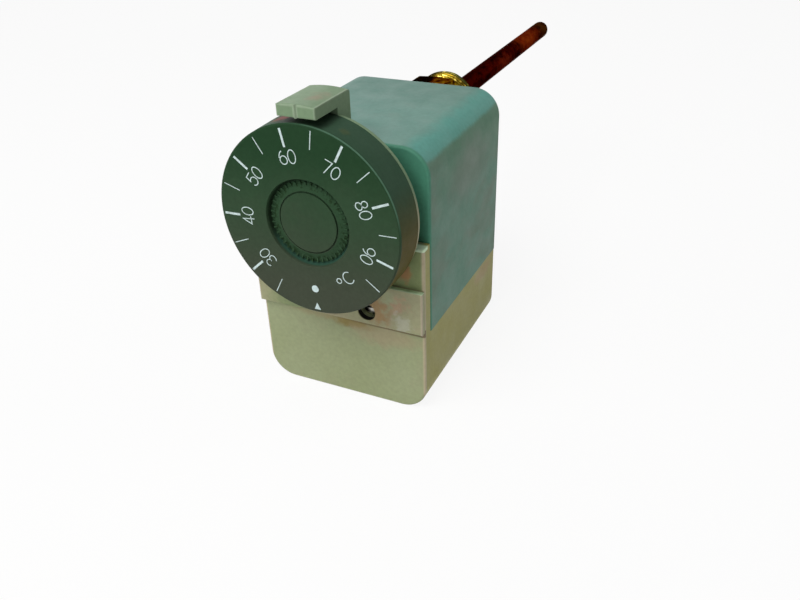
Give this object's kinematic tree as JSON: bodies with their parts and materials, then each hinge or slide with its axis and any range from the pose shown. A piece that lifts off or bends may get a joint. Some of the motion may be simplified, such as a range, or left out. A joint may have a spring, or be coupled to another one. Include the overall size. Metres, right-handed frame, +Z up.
{
  "type": "capillary thermostat",
  "caption": "Boxed temperature control with a large numbered setting dial, a two-part moulded case and a screw-in copper sensor pocket at the rear.",
  "frame": {"origin": "on the pocket's axis at the rear shoulder of the fitting's hexagon, where the pipe thread starts", "axes": "+Y along the pocket towards its tip, +Z up, +X to the right of someone who faces the dial"},
  "size_m": [0.0534, 0.2135, 0.0939],
  "materials": {
    "grey_moulding": "moulded, slightly glossy grey-green",
    "beige_moulding": "moulded beige-olive, stained",
    "beige_plate": "moulded beige-olive",
    "dial_moulding": "moulded dark grey-green",
    "plated_screw": "zinc-plated",
    "spring_steel": "spring steel",
    "bright_steel": "turned steel",
    "plain_brass": "turned brass",
    "plated_sheet": "zinc-plated sheet",
    "capsule_steel": "pressed stainless steel",
    "switch_moulding": "moulded black",
    "plunger_moulding": "moulded natural",
    "terminal_brass": "plated brass",
    "fitting_brass": "turned brass, darkened on the hexagon",
    "aged_copper": "copper with a dark red-brown patina",
    "bright_copper": "drawn copper",
    "black_rubber": "moulded rubber",
    "clamp_moulding": "moulded grey"
  },
  "bodies": {
    "case": {"cover": "grey_moulding", "base_housing": "beige_moulding", "front_plate": "beige_plate", "front_screw": "plated_screw", "spindle_bush": "plain_brass", "bush_nut": "plain_brass", "lever_pin": "bright_steel", "capsule": "capsule_steel", "capsule_nut": "plain_brass", "capsule_bracket": "plated_sheet", "bracket_screws": "plated_screw", "chassis": "plated_sheet", "chassis_screws": "plated_screw", "switch_body": "switch_moulding", "switch_terminals": "terminal_brass", "terminal_screws": "plated_screw", "switch_screws": "plated_screw", "brass_fitting": "fitting_brass", "fitting_nut": "plain_brass", "copper_pocket": "aged_copper", "sensing_bulb": "bright_copper", "capillary": "bright_copper", "earth_clamp": "terminal_brass", "earth_screw": "plated_screw", "cable_grommet": "black_rubber", "cable_clamp": "clamp_moulding", "clamp_screws": "plated_screw"},
    "dial": {"dial_knob": "dial_moulding", "knob_clip": "spring_steel", "spindle": "bright_steel"},
    "setpoint": {"setpoint_nut": "plain_brass", "range_spring": "spring_steel"},
    "tilt": {"lever": "plated_sheet"},
    "sensor": {"push_rod": "bright_steel"},
    "plunger": {"switch_plunger": "plunger_moulding"}
  },
  "joints": [
    {"name": "dial_turn", "type": "hinge", "parent": "case", "child": "dial", "pos_m": [0, -0.063, -0.0043], "axis": [0, -1, 0], "range_deg": [-152, 128]},
    {"name": "setpoint_slide", "type": "slide", "parent": "case", "child": "setpoint", "axis": [0, 1, 0], "range_m": [-0.00086, 0.00073], "deforming": ["range_spring"]},
    {"name": "lever_tilt", "type": "hinge", "parent": "case", "child": "tilt", "pos_m": [0, -0.0381, -0.0205], "axis": [1, 0, 0], "range_deg": [0, 2.83], "stiffness_Nm_per_rad": 0.05},
    {"name": "sensor_push", "type": "slide", "parent": "case", "child": "sensor", "axis": [0, -1, 0], "range_m": [0, 0.00081]},
    {"name": "plunger_travel", "type": "slide", "parent": "case", "child": "plunger", "axis": [0, 1, 0], "range_m": [0, 0.0005]}
  ],
  "couplings": [
    {"joint": "setpoint_slide", "follows": "dial_turn", "m_per_rad": 0.00031831},
    {"joint": "sensor_push", "follows": "lever_tilt", "m_per_rad": 0.0162},
    {"joint": "plunger_travel", "follows": "lever_tilt", "m_per_rad": 0.01}
  ]
}
